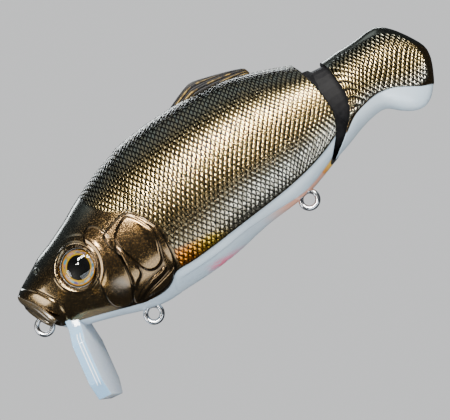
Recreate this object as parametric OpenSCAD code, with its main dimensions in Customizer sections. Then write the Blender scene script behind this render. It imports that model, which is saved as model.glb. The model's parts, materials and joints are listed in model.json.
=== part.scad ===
/* [Joint] */
// How far the tail is swung towards the right flank when stored, in degrees
rest_swing = 16; // [-18:1:18]
// Distance of the hinge axis behind the line tie
pivot_x = 87; // [86.8:0.1:87.2]
// Radius of the hinge pin
pin_r = 0.75; // [0.7:0.01:0.78]
// Radial running clearance of the wire eyes on the pin
pin_clearance = 0.05; // [0.02:0.01:0.1]
// Height of the lower hinge eye
lower_eye_z = 3; // [2:0.5:5]
// Height of the upper hinge eye
upper_eye_z = 13; // [11:0.5:14]

/* [Shells] */
// Wall of the front body
body_wall = 1.8; // [1.4:0.1:2.2]
// Wall of the joint socket behind the bulkhead
socket_wall = 1.3; // [1.1:0.1:1.5]
// Height of the raised gill plates above the cheek
gill_rise = 0.5; // [0.3:0.1:0.8]

/* [Wire] */
// Radius of the wire of the line tie and the hook hangers
wire_r = 0.65; // [0.5:0.05:0.7]
// Radius of the hole in each of those eyes
ring_hole_r = 1.48; // [1.3:0.01:1.6]
// Width of the pressed flat around that hole
ring_land = 0.4; // [0.2:0.1:0.6]
// Radius of the wire of the hinge eyes
hinge_wire_r = 0.5; // [0.4:0.05:0.55]

/* [Lip] */
// Length of the diving lip below the chin
lip_length = 20.5; // [16:0.5:21]
// Width of the lip near its lower end
lip_width = 15; // [13:0.5:18]
// Width of the lip where it leaves the chin
lip_root_width = 9.6; // [8:0.2:11]
// Thickness of the lip
lip_thickness = 3.5; // [2.4:0.1:3.6]
// Lean of the lip forward of straight down, in degrees
lip_lean = 6; // [0:1:12]

/* [Eyes and fin] */
// Diameter of the printed iris and of the dome over it
socket_d = 9.8; // [9.4:0.1:10.2]
// Turn of each eye towards the nose, in degrees
eye_yaw = 7; // [0:1:14]
// Thickness of the dorsal fin
fin_thickness = 2; // [1.4:0.1:2.6]

/* [Ballast] */
// Radius of the keel weights
weight_r = 3.3; // [2.5:0.1:3.4]
// Length of the front keel weight
front_weight_length = 14; // [8:1:16]
// Length of the rear keel weight
rear_weight_length = 9; // [6:1:10]

/* [Hidden] */
$fn = 48;

// Front body, nose to joint. Each row is a section across the fish:
// distance back, top, bottom, half width, height of the widest point, and how far it follows the rim's curve
BODY = [
    [-1.4, 10.3, 5.3, 2.6, 8.0, 0],
    [-0.6, 10.9, 4.1, 3.7, 7.7, 0],
    [0.5, 11.5, 2.3, 4.6, 7.2, 0],
    [2.4, 12.5, -0.7, 5.7, 6.6, 0],
    [5.1, 13.9, -3.5, 6.9, 6.2, 0],
    [8, 15.4, -4.9, 7.9, 6.2, 0],
    [12.5, 17, -6.2, 9.1, 6.4, 0],
    [18, 19.4, -7.9, 10.2, 6.8, 0],
    [23.3, 22.1, -9.7, 11, 7.4, 0],
    [29.7, 24.9, -11.1, 11.6, 8, 0],
    [36, 26.9, -11, 12, 8.4, 0],
    [43, 28, -10.9, 12, 8.6, 0],
    [51, 28.5, -10.2, 11.8, 8.8, 0],
    [61, 28.2, -8.4, 11, 9, 0],
    [70.4, 27, -7.6, 9.8, 9, 0],
    [77.5, 25, -6.8, 8.8, 8.9, 0.35],
    [82, 23.2, -5.9, 8, 8.8, 0.7],
    [86, 21, -4.4, 7.3, 8.7, 1]
];
BODY_BACK_POWER = 2;
BODY_BELLY_POWER = 2.2;

// Tail, joint to trailing edge, in its own straight position, measured back from the hinge axis
TAIL = [
    [5.9, 18.5, -3.9, 6.2, 8.8, 1],
    [8, 18.6, -0.9, 6, 8.9, 0.55],
    [11, 18.7, 0.6, 5.5, 9.2, 0.2],
    [14, 18.8, 0.7, 4.9, 9.5, 0],
    [17, 19.1, -1.6, 4.5, 9.5, 0],
    [19.8, 19.5, -3.2, 4.1, 9.3, 0],
    [22.4, 19.2, -3.5, 3.6, 9, 0],
    [24.8, 17.3, -2.3, 3.1, 8.7, 0],
    [26.8, 14.8, 0, 2.6, 8.5, 0],
    [28.4, 12.3, 3, 1.9, 8.4, 0],
    [29.5, 10.2, 5.7, 1.2, 8.3, 0],
    [30, 8.9, 7.7, 0.4, 8.3, 0]
];
TAIL_POWER = 2.1;

// Root of the neck, which fills the front of the tail
NECK_ROOT = [
    [-0.5, 17.8, -0.6, 4.1, 8.8, 0],
    [3, 17.8, 0.1, 4.2, 8.8, 0],
    [6, 17.6, 1.4, 4.2, 9, 0],
    [9, 17.3, 3, 3.8, 9.3, 0],
    [12, 17, 3.8, 3.3, 9.7, 0]
];

// Radius of the knuckle against height, as a turned profile about the hinge axis
KNUCKLE = [
    [0, -2.1], [2, -1.9], [3.3, -0.5], [4.1, 2], [4.35, 5], [4.35, 10.5],
    [4.1, 13.5], [3.4, 16.4], [2.4, 18.2], [0, 18.8]
];

// Air space in the tail, and the last section of the one in the body
TAIL_CAVITY = [[13, 16.2, 4.4, 2.7, 9.8, 0], [18, 16.6, 2.6, 2.4, 9.6, 0], [23.5, 15.6, 1, 1.7, 9.2, 0]];
BODY_CAVITY_END = [72, 24.8, -5.2, 7.7, 9, 0];

// Last section of the joint socket, beyond the rim
SOCKET_END = [92, 18.5, -1.6, 6, 8.7, 1.1];

// Places of the fittings, as distance back and height
FRONT_HANGER = [25.7, -12];
REAR_HANGER = [73.3, -8.7];
EYE = [16.9, 6.3];
LIP_ROOT = [8, -3.4];
TIE_RISE = 32;

// Outlines in side view
GILL_COVER = [
    [26.2, 8.4], [29, 11], [32, 12.3], [34.6, 10], [36.1, 7.3], [36.8, 3],
    [35.6, -0.6], [34.3, -5], [30, -6.6], [29, -2], [27, 3]
];
CHEEK_PLATE = [
    [25.2, 7.6], [26.2, 3], [25.6, -1], [24.4, -4.2], [21.3, -6.6], [20.6, -4.6], [22.8, -2], [23.4, 3]
];
FIN = [
    [51.8, 25], [51.8, 28.2], [54.6, 29], [58, 30.6], [62.5, 32], [64.8, 31.6], [71.8, 29.4],
    [76.2, 27.8], [76.9, 26.1], [76.9, 23], [70, 24]
];
MOUTH = [[-4, 7.8], [-4, 5.9], [-1, 5.8], [0.6, 4.2], [1.6, 3], [1.9, 3.3], [0.9, 5], [-0.8, 6.7]];

// Keel weights, front and rear: distance back and height of the middle, and spacing of the ribs that hold it
WEIGHTS = [[42, -5.2, 8], [61.5, -2.6, 5]];

tie_length = 10;
hanger_length = 8;
wire_gap = 0.05;
bulkhead_back = 79.6;
cavity_front = 9;
socket_front = 74;
lip_tongue = 3;
lip_neck = 1.8;
lip_flare = 6;
lip_corner = [2.5, 4];
hanger_boss = [8.4, 8, 9];
rib_height = 9;
rib_middle_z = -7;
ring_centre_r = ring_hole_r + sqrt(wire_r * wire_r - ring_land * ring_land / 4);
hinge_ring_r = pin_r + pin_clearance + hinge_wire_r;
pin_bottom = -1.1;
pin_top = 16.6;
cap_r = 1.25;
cap_height = 1.1;
slot_gap = 0.3;
slot_half_angle = 26;
slot_reach = 6;
iris_thickness = 0.8;
iris_depth = 2.1;
eye_y = 9.6;
dome_r = 7.5;
dome_rim = 0.6;
anchor_x = 75;
anchor_slot = 9;
anchor_slot_shift = 1.5;
pocket_depth = 6;
knuckle_gap = 0.3;
tie_boss_r = 4;
rib_thickness = 1.4;
far = 200;

// Rear rim of the front body, which bulges backwards at mid height
function rim(z) =
    z > 6 ? 90.1 - 4 * pow((z - 6) / 15.5, 2.2) : 90.1 - 7.3 * pow((6 - z) / 10, 1.9);

// Front edge of the tail, behind the hinge axis
function tail_edge(z) =
    z > 9 ? 6.3 - 0.6 * pow((z - 9) / 9.8, 2) : 6.3 - 9.4 * pow((9 - z) / 12.9, 2.2);

// Smooth curve through four rows, at t between the middle two
function smooth(a, b, c, d, t) =
    0.5 * (2 * b + (c - a) * t + (2 * a - 5 * b + 4 * c - d) * t * t + (3 * b - a - 3 * c + d) * t * t * t);

function fill_rows(rows, steps) = concat(
    [for (i = [0 : len(rows) - 2], k = [0 : steps - 1])
        smooth(rows[max(i - 1, 0)], rows[i], rows[i + 1], rows[min(i + 2, len(rows) - 1)], k / steps)],
    [rows[len(rows) - 1]]
);

function shrink(rows, wall) = [for (r = rows) [r[0], r[1] - wall, r[2] + wall, r[3] - wall, r[4], r[5]]];

// One point of a section: a blunt ellipse whose upper and lower halves differ
function section_y(row, a, power) = row[3] * sign(sin(a)) * pow(abs(sin(a)), 2 / power);
function section_z(row, a, power) =
    row[4] + (cos(a) > 0 ? row[1] - row[4] : row[4] - row[2]) * sign(cos(a)) * pow(abs(cos(a)), 2 / power);
function power_at(a, upper, lower) = cos(a) > 0 ? upper : lower;

// Closed solid through the sections. The row's last value bends its plane along the given edge
function edge_shift(row, z, edge) =
    edge == "rim" ? row[5] * (rim(z) - 86)
    : edge == "tail" ? row[5] * (tail_edge(z) - 5.9)
    : 0;

module loft(rows, sides, edge, upper, lower) {
    count = len(rows);
    points = [for (row = rows, k = [0 : sides - 1])
        let (
            a = 360 * k / sides,
            p = power_at(a, upper, lower),
            z = section_z(row, a, p)
        )
        [row[0] + edge_shift(row, z, edge), section_y(row, a, p), z]];
    side_faces = [for (i = [0 : count - 2], k = [0 : sides - 1])
        let (n = (k + 1) % sides)
        each [
            [i * sides + k, (i + 1) * sides + n, (i + 1) * sides + k],
            [i * sides + k, i * sides + n, (i + 1) * sides + n]
        ]];
    front_face = [for (k = [sides - 1 : -1 : 0]) k];
    back_face = [for (k = [0 : sides - 1]) (count - 1) * sides + k];
    polyhedron(points, concat(side_faces, [front_face], [back_face]), convexity = 6);
}

module body_loft(rows, sides = 40) {
    loft(rows, sides, "rim", BODY_BACK_POWER, BODY_BELLY_POWER);
}

module tail_loft(rows, sides = 32) {
    loft(rows, sides, "tail", TAIL_POWER, TAIL_POWER);
}

// Turns a moulded shape into a single smooth mesh
module moulded() {
    resize([0, 0, 0]) children();
}

// Draws a side-view outline as a plate of the given thickness about the middle plane
module side_plate(thickness) {
    rotate([90, 0, 0]) linear_extrude(thickness, center = true) children();
}

module half_space(side) {
    translate([-far / 2, side > 0 ? 0 : -far, -far / 2]) cube([far * 2, far, far]);
}

// Places something made about the hinge axis, in the tail's straight position, at the stored swing
module on_tail() {
    translate([pivot_x, 0, 0]) rotate([0, 0, rest_swing]) children();
}

module at_eye(side) {
    translate([EYE[0], side * eye_y, EYE[1]])
        rotate([0, 0, side > 0 ? eye_yaw : -eye_yaw])
            rotate([side > 0 ? -90 : 90, 0, 0]) children();
}

// Room in the parting plane for a wire's buried loop, the hole that its shank leaves by,
// and a seat for the eye where it touches the skin
module wire_pocket(length) {
    loop = 2 * (ring_centre_r + wire_r + wire_gap);
    translate([0, 0, length]) cube([loop, 2 * (wire_r + wire_gap), loop], center = true);
    cylinder(length, r = wire_r + wire_gap, $fn = 24);
    rotate([90, 0, 0]) rotate_extrude($fn = 48)
        translate([ring_centre_r, 0]) circle(wire_r + 2 * wire_gap, $fn = 20);
}

module tie_frame() {
    rotate([0, 90 - TIE_RISE, 0]) children();
}

module ring(hole_r, r, land) {
    centre = hole_r + sqrt(r * r - land * land / 4);
    rotate_extrude($fn = 64) intersection() {
        translate([centre, 0]) circle(r, $fn = 40);
        translate([hole_r, -r]) square(2 * r + hole_r);
    }
}

// Steel eye with its hole across the fish, a shank, and a buried loop
module screw_eye(length) {
    rotate([90, 0, 0]) ring(ring_hole_r, wire_r, ring_land);
    translate([0, 0, ring_centre_r]) cylinder(length - 2 * ring_centre_r, r = wire_r);
    translate([0, 0, length]) rotate([90, 0, 0]) ring(ring_hole_r, wire_r, ring_land);
}

// ---- front body ----

// Gill cover and cheek plate, raised above the skin on both flanks
module head_detail() {
    intersection() {
        body_loft([for (r = fill_rows(BODY, 2)) [r[0], r[1], r[2], r[3] + gill_rise, r[4], r[5]]]);
        union() {
            side_plate(40) polygon(GILL_COVER);
            side_plate(40) polygon(CHEEK_PLATE);
        }
    }
}

// Sealed air space of the front body
module body_cavity() {
    rows = [for (r = shrink(BODY, body_wall)) if (r[0] >= cavity_front && r[0] < BODY_CAVITY_END[0]) r];
    body_loft(concat(rows, [BODY_CAVITY_END]), 28);
}

// Hollow behind the bulkhead that the knuckle turns in
module joint_socket() {
    rows = [for (r = fill_rows(shrink(BODY, socket_wall), 2)) if (r[0] > socket_front) r];
    intersection() {
        body_loft(concat(rows, [SOCKET_END]), 32);
        translate([bulkhead_back, -far / 2, -far / 2]) cube(far);
    }
}

// Bosses that trap the buried loops, and ribs that hold the ballast
module body_bosses() {
    intersection() {
        body_loft(shrink(BODY, 0.6), 28);
        union() {
            tie_frame() translate([0, 0, tie_length]) rotate([90, 0, 0])
                cylinder(2 * tie_boss_r, r = tie_boss_r, center = true, $fn = 24);
            for (hanger = [FRONT_HANGER, REAR_HANGER])
                translate([hanger[0], 0, hanger[1] + hanger_length]) cube(hanger_boss, center = true);
            for (weight = WEIGHTS, side = [-0.5, 0.5])
                translate([weight[0] + side * weight[2], 0, rib_middle_z])
                    cube([rib_thickness, far, rib_height], center = true);
        }
    }
}

module weight_space(index, length, gap = 0) {
    translate([WEIGHTS[index][0], 0, WEIGHTS[index][1]])
        rotate([0, 90, 0]) cylinder(length + 2 * gap, r = weight_r + gap, center = true);
}

// Everything that is cut from the shells to seat the fittings
module fitting_pockets() {
    tie_frame() wire_pocket(tie_length);
    translate([FRONT_HANGER[0], 0, FRONT_HANGER[1]]) wire_pocket(hanger_length);
    translate([REAR_HANGER[0], 0, REAR_HANGER[1]]) wire_pocket(hanger_length);
    for (z = [lower_eye_z, upper_eye_z])
        translate([anchor_x + anchor_slot_shift, 0, z])
            cube([anchor_slot, 2 * (hinge_ring_r + hinge_wire_r + wire_gap), 2 * (hinge_wire_r + wire_gap)],
                center = true);
    for (side = [-1, 1]) at_eye(side)
        translate([0, 0, -iris_depth]) cylinder(pocket_depth, d = socket_d + 2 * wire_gap, $fn = 40);
    side_plate(fin_thickness) polygon(FIN);
    lip_plate();
    weight_space(0, front_weight_length, 0.05);
    weight_space(1, rear_weight_length, 0.05);
    mouth_opening();
}

module mouth_opening() {
    side_plate(20) polygon(MOUTH);
}

module body_shell(side) {
    moulded() intersection() {
        difference() {
            union() {
                difference() {
                    union() {
                        body_loft(fill_rows(BODY, 3));
                        head_detail();
                    }
                    body_cavity();
                    joint_socket();
                }
                body_bosses();
            }
            fitting_pockets();
        }
        half_space(side);
    }
}

module body_shell_left() { color([0.42, 0.34, 0.22]) body_shell(-1); }
module body_shell_right() { color([0.42, 0.34, 0.22]) body_shell(1); }

module lip_plate() {
    half_root = lip_root_width / 2;
    half = lip_width / 2;
    translate([LIP_ROOT[0], 0, LIP_ROOT[1]]) rotate([0, lip_lean, 0]) rotate([0, -90, 0])
        translate([0, 0, -lip_thickness / 2]) linear_extrude(lip_thickness)
            polygon([
                [lip_tongue, -half_root], [lip_tongue, half_root], [-lip_neck, half_root], [-lip_flare, half],
                [-lip_length + lip_corner[1], half], [-lip_length, half - lip_corner[0]],
                [-lip_length, lip_corner[0] - half], [-lip_length + lip_corner[1], -half],
                [-lip_flare, -half], [-lip_neck, -half_root]
            ]);
}

module diving_lip() { color([0.7, 0.85, 1, 0.6]) lip_plate(); }

module line_tie_wire() { color("silver") tie_frame() screw_eye(tie_length); }

module front_hanger_wire() {
    color("silver") translate([FRONT_HANGER[0], 0, FRONT_HANGER[1]]) screw_eye(hanger_length);
}

module rear_hanger_wire() {
    color("silver") translate([REAR_HANGER[0], 0, REAR_HANGER[1]]) screw_eye(hanger_length);
}

module eye_iris(side) {
    at_eye(side) translate([0, 0, -iris_depth]) cylinder(iris_thickness, d = socket_d);
}

module eye_lens(side) {
    dome_h = dome_r - sqrt(dome_r * dome_r - socket_d * socket_d / 4);
    at_eye(side) translate([0, 0, iris_thickness - iris_depth]) {
        cylinder(dome_rim, d = socket_d);
        intersection() {
            translate([0, 0, dome_rim + dome_h - dome_r]) sphere(dome_r, $fn = 64);
            translate([0, 0, dome_rim]) cylinder(dome_h + 1, d = socket_d);
        }
    }
}

module left_eye_iris() { color("gold") eye_iris(-1); }
module right_eye_iris() { color("gold") eye_iris(1); }
module left_eye_lens() { color([1, 1, 1, 0.4]) eye_lens(-1); }
module right_eye_lens() { color([1, 1, 1, 0.4]) eye_lens(1); }

module dorsal_fin() { color([0.2, 0.17, 0.12]) side_plate(fin_thickness) polygon(FIN); }

module keel_weight_front() { color("dimgray") weight_space(0, front_weight_length); }
module keel_weight_rear() { color("dimgray") weight_space(1, rear_weight_length); }

module hinge_eye(z) {
    translate([pivot_x, 0, z]) ring(pin_r + pin_clearance, hinge_wire_r, 0);
    translate([anchor_x, 0, z]) ring(pin_r + pin_clearance, hinge_wire_r, 0);
    translate([anchor_x + hinge_ring_r, 0, z]) rotate([0, 90, 0])
        cylinder(pivot_x - anchor_x - 2 * hinge_ring_r, r = hinge_wire_r);
}

module hinge_eye_upper() { color("silver") hinge_eye(upper_eye_z); }
module hinge_eye_lower() { color("silver") hinge_eye(lower_eye_z); }

// ---- tail ----

// Air space in the tail, behind the neck's root
module tail_cavity() {
    tail_loft(TAIL_CAVITY, 16);
}

module tail_shell(side) {
    moulded() on_tail() intersection() {
        difference() {
            tail_loft(fill_rows(TAIL, 3));
            neck_root();
            knuckle(knuckle_gap);
            tail_cavity();
        }
        half_space(side);
    }
}

module tail_shell_left() { color([0.42, 0.34, 0.22]) tail_shell(-1); }
module tail_shell_right() { color([0.42, 0.34, 0.22]) tail_shell(1); }

module neck_root() {
    loft(NECK_ROOT, 28, "none", TAIL_POWER, TAIL_POWER);
}

module knuckle(gap = 0) {
    rotate_extrude($fn = 64) polygon([for (p = KNUCKLE) [p[0] > 0 ? p[0] + gap : 0, p[1]]]);
}

// Sector that a hinge eye and its shank sweep, seen from the neck
module eye_slot(z) {
    height = 2 * (hinge_wire_r + slot_gap);
    reach = slot_reach;
    half = hinge_wire_r + slot_gap;
    translate([0, 0, z - height / 2]) {
        cylinder(height, r = hinge_ring_r + hinge_wire_r + slot_gap);
        linear_extrude(height) polygon([
            [0, half], [-reach, half + reach * tan(slot_half_angle)],
            [-reach, -half - reach * tan(slot_half_angle)], [0, -half]
        ]);
    }
}

module tail_neck() {
    color([0.05, 0.05, 0.05]) on_tail() difference() {
        union() {
            knuckle();
            neck_root();
        }
        eye_slot(lower_eye_z);
        eye_slot(upper_eye_z);
        translate([0, 0, pin_bottom]) cylinder(far, r = pin_r);
        translate([0, 0, pin_top]) cylinder(far, r = cap_r);
    }
}

module hinge_pin() {
    color("silver") on_tail() translate([0, 0, pin_bottom]) cylinder(pin_top - pin_bottom, r = pin_r);
}

module hinge_pin_cap() {
    color([0.05, 0.05, 0.05]) on_tail() translate([0, 0, pin_top]) cylinder(cap_height, r = cap_r);
}

body_shell_left();
body_shell_right();
diving_lip();
line_tie_wire();
front_hanger_wire();
rear_hanger_wire();
left_eye_iris();
left_eye_lens();
right_eye_iris();
right_eye_lens();
dorsal_fin();
keel_weight_front();
keel_weight_rear();
hinge_eye_upper();
hinge_eye_lower();
tail_shell_left();
tail_shell_right();
tail_neck();
hinge_pin();
hinge_pin_cap();
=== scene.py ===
# %% [markdown]
# # A jointed swimbait
# This lesson dresses a finished CAD assembly of a fishing lure. The CAD model holds every size, joint and
# mount; here each moulded shell gets its scales, plates, paint and gloss. Everything stays in metres, in the
# CAD model's own frame: +X runs from nose to tail, +Z up through the back, and the left flank faces -Y.

# %% The frame
import json
import math
from types import SimpleNamespace

import bpy
import numpy as np
from mathutils import Matrix, Vector


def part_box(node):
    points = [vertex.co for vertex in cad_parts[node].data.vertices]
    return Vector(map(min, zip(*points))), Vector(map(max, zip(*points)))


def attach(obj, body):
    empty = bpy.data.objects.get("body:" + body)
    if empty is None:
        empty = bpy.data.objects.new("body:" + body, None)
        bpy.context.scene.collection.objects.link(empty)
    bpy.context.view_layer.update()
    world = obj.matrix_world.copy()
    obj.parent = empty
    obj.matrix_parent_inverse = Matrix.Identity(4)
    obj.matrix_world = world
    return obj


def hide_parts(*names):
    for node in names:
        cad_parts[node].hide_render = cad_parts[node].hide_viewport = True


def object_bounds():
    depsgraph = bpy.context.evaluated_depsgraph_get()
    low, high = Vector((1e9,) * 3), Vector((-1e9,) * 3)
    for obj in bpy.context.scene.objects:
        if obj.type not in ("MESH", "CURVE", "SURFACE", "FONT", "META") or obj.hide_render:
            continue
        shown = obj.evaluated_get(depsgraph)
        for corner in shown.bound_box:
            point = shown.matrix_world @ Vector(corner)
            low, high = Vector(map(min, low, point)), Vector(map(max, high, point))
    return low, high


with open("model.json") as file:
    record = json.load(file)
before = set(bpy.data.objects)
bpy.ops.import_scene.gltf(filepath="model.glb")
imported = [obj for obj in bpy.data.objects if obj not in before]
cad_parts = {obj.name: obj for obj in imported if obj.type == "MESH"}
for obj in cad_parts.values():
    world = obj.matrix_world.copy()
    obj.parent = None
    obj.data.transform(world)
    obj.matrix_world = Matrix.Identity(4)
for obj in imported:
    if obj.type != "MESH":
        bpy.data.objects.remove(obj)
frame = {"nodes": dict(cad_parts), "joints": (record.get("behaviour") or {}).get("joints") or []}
cad_low, cad_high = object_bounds()
MM = 0.001
SIDES = ((-1, "left"), (1, "right"))
print("CAD box in mm:", [round(x / MM, 2) for x in (*cad_low, *cad_high)])

# %% [markdown]
# ## Camera
# The lure is seen on its left flank from a little behind the middle and a little below, with the camera
# rolled so that the nose points down to the left. A long lens flattens it, as tackle is usually shown.
# The view is set first, because every later choice is judged through it.

# %% Camera
AZIMUTH = math.radians(10)
ELEVATION = math.radians(-10)
ROLL = math.radians(30.75)
DISTANCE = 0.5
LENS = 163.6
SENSOR = 36
AIM_BACK, AIM_DOWN = 0.0569, 0.0317

back = Vector((
    math.sin(AZIMUTH) * math.cos(ELEVATION),
    -math.cos(AZIMUTH) * math.cos(ELEVATION),
    math.sin(ELEVATION),
))
level_right = Vector((0, 0, 1)).cross(back).normalized()
level_up = back.cross(level_right)
right = level_right * math.cos(ROLL) - level_up * math.sin(ROLL)
up = level_right * math.sin(ROLL) + level_up * math.cos(ROLL)
aim = Vector((cad_low.x + AIM_BACK, 0, cad_high.z - AIM_DOWN))

bpy.ops.object.camera_add(location=aim + back * DISTANCE)
camera = bpy.context.object
camera.rotation_mode = "QUATERNION"
camera.rotation_quaternion = Matrix((right, up, back)).transposed().to_quaternion()
camera.data.lens = LENS
camera.data.sensor_width = SENSOR
camera.data.clip_start = 0.01
bpy.context.scene.camera = camera
print("camera at", [round(x, 4) for x in camera.location])

# %% [markdown]
# ## Studio
# Foil looks like foil only if it has something bright and something dark to mirror. The floor and sky look
# pale to the camera, while what the lure mirrors is a dim room with a few soft boxes: a key in front and
# above, smaller ones for the tail, the cheek and the nose, a strip behind the back that draws the pale
# outline, and a low cool fill for the belly.

# %% Studio
LIT_POINT = Vector((0.045, 0, 0.008))


def add_soft_box(name, place, size, power, tint):
    """An oblong area light that faces the lure."""
    bpy.ops.object.light_add(type="AREA", location=place)
    lamp = bpy.context.object
    lamp.name = name
    lamp.data.shape = "RECTANGLE"
    lamp.data.size, lamp.data.size_y = size
    lamp.data.energy = power
    lamp.data.color = tint
    lamp.rotation_euler = (LIT_POINT - lamp.location).to_track_quat("-Z", "Y").to_euler()


add_soft_box("key_box", (0.12, -0.42, 0.27), (0.26, 0.07), 4.4, (1, 0.97, 0.92))
add_soft_box("tail_box", (0.32, -0.34, 0.20), (0.12, 0.10), 2.0, (1, 0.96, 0.9))
add_soft_box("rim_strip", (0.03, 0.30, 0.34), (0.5, 0.08), 1.6, (0.9, 0.95, 1))
add_soft_box("sky_box", (0.05, -0.12, 0.50), (0.6, 0.30), 0.7, (0.88, 0.94, 1))
add_soft_box("cheek_box", (-0.05, -0.43, 0.14), (0.10, 0.05), 1.5, (1, 0.95, 0.86))
add_soft_box("nose_box", (-0.36, -0.22, 0.05), (0.10, 0.18), 0.5, (0.95, 0.97, 1))
add_soft_box("belly_fill", (0.05, -0.28, -0.20), (0.4, 0.12), 0.55, (0.86, 0.93, 1))

FLOOR_DROP = 0.25
bpy.ops.mesh.primitive_plane_add(size=6, location=(0, 0, cad_low.z - FLOOR_DROP))
floor = bpy.context.object
floor.name = "studio_floor"
floor.visible_glossy = False

world = bpy.data.worlds.new("pale_studio")
bpy.context.scene.world = world
world.use_nodes = True
sky = world.node_tree
sky.nodes.clear()
seen = sky.nodes.new("ShaderNodeLightPath")
pale = sky.nodes.new("ShaderNodeBackground")
pale.inputs["Color"].default_value = (0.80, 0.81, 0.82, 1)
dim = sky.nodes.new("ShaderNodeBackground")
dim.inputs["Color"].default_value = (0.075, 0.08, 0.085, 1)
choose = sky.nodes.new("ShaderNodeMixShader")
sky.links.new(seen.outputs["Is Camera Ray"], choose.inputs["Fac"])
sky.links.new(dim.outputs[0], choose.inputs[1])
sky.links.new(pale.outputs[0], choose.inputs[2])
sky.links.new(choose.outputs[0], sky.nodes.new("ShaderNodeOutputWorld").inputs["Surface"])

# %% [markdown]
# ## Writing finishes as sums
# A finish is a handful of masks mixed together. Wrapping a node socket in a small class lets such a mix be
# written as an expression, so that `1 - mask` adds the Math node that it stands for.

# %% Paint values
class Paint:
    """One value inside a finish; arithmetic on it adds Math nodes."""

    def __init__(self, finish, socket):
        self.finish = finish
        self.socket = socket

    def maths(self, operation, *others):
        return self.finish.node("ShaderNodeMath", {"operation": operation}, dict(enumerate((self, *others))))

    def __add__(self, other):
        return self.maths("ADD", other)

    __radd__ = __add__

    def __mul__(self, other):
        return self.maths("MULTIPLY", other)

    __rmul__ = __mul__

    def __sub__(self, other):
        return self.maths("SUBTRACT", other)

    def __rsub__(self, other):
        return self.finish.node("ShaderNodeMath", {"operation": "SUBTRACT"}, {0: other, 1: self})

    def __truediv__(self, other):
        return self.maths("DIVIDE", other)

    def __mod__(self, other):
        return self.maths("FLOORED_MODULO", other)

    def __pow__(self, other):
        return self.maths("POWER", other)

    def __lt__(self, other):
        return self.maths("LESS_THAN", other)

    def __gt__(self, other):
        return self.maths("GREATER_THAN", other)

    def __abs__(self):
        return self.maths("ABSOLUTE")

    def floor(self):
        return self.maths("FLOOR")

    def cos(self):
        return self.maths("COSINE")

    def least(self, other):
        return self.maths("MINIMUM", other)

    def most(self, other):
        return self.maths("MAXIMUM", other)

    def step(self, low, high):
        """0 below low, 1 above high, and smooth between."""
        return self.finish.node(
            "ShaderNodeMapRange",
            {"interpolation_type": "SMOOTHSTEP"},
            {"Value": self, "From Min": low, "From Max": high},
        )


class Finish:
    """A material that is built from expressions."""

    def __init__(self, name):
        self.material = bpy.data.materials.new(name)
        self.material.use_nodes = True
        self.tree = self.material.node_tree
        self.tree.nodes.clear()

    def node(self, kind, settings=None, inputs=None, output=0):
        made = self.tree.nodes.new(kind)
        for key, value in (settings or {}).items():
            if key == "stops":
                fill_ramp(made.color_ramp, value)
            else:
                setattr(made, key, value)
        for key, value in (inputs or {}).items():
            if isinstance(value, Paint):
                self.tree.links.new(value.socket, made.inputs[key])
            else:
                made.inputs[key].default_value = value
        return Paint(self, made.outputs[output])

    def attribute(self, name):
        return self.node("ShaderNodeAttribute", {"attribute_name": name}, output="Fac")

    def place(self):
        return self.node("ShaderNodeTexCoord", output="Object")

    def axes(self, vector):
        split = self.node("ShaderNodeSeparateXYZ", inputs={0: vector})
        return [Paint(self, split.socket.node.outputs[i]) for i in range(3)]

    def grain(self, vector, scale, detail=2.0, roughness=0.5):
        inputs = {"Vector": vector, "Scale": scale, "Detail": detail, "Roughness": roughness}
        return self.node("ShaderNodeTexNoise", inputs=inputs, output="Fac")

    def mix(self, factor, first, second):
        """Mixes two colours."""
        return self.node("ShaderNodeMix", {"data_type": "RGBA"}, {0: factor, 6: first, 7: second}, output=2)

    def ramp(self, factor, stops):
        return self.node("ShaderNodeValToRGB", {"stops": stops}, {"Fac": factor})

    def bump(self, height, distance, strength=1.0, under=None):
        inputs = {"Height": height, "Distance": distance, "Strength": strength}
        if under is not None:
            inputs["Normal"] = under
        return self.node("ShaderNodeBump", inputs=inputs)

    def done(self, inputs):
        """Gives the values to a Principled shader, and returns the material."""
        shader = self.node("ShaderNodeBsdfPrincipled", inputs=inputs)
        output = self.tree.nodes.new("ShaderNodeOutputMaterial")
        self.tree.links.new(shader.socket, output.inputs["Surface"])
        print("finish:", self.material.name, len(self.tree.nodes), "nodes")
        return self.material


def fill_ramp(ramp, stops):
    """Stops are (place, colour) pairs."""
    while len(ramp.elements) < len(stops):
        ramp.elements.new(1)
    for element, (place, colour) in zip(ramp.elements, stops):
        element.position = place
        element.color = colour


def rgb(red, green, blue):
    return (red, green, blue, 1)


# %% [markdown]
# ## Sections of the fish
# The body and the tail are lofts: a table of sections, a smooth curve through its rows, and a blunt ellipse
# at each. Each row holds, in millimetres, the distance back, top, bottom, half width and height of the widest
# point, and last how far the section follows the curved rim. The rows repeat the CAD model's own, so that
# the skin lies on its shells. Only NOSE and the tail's last row differ: they close the two ends.

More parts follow.
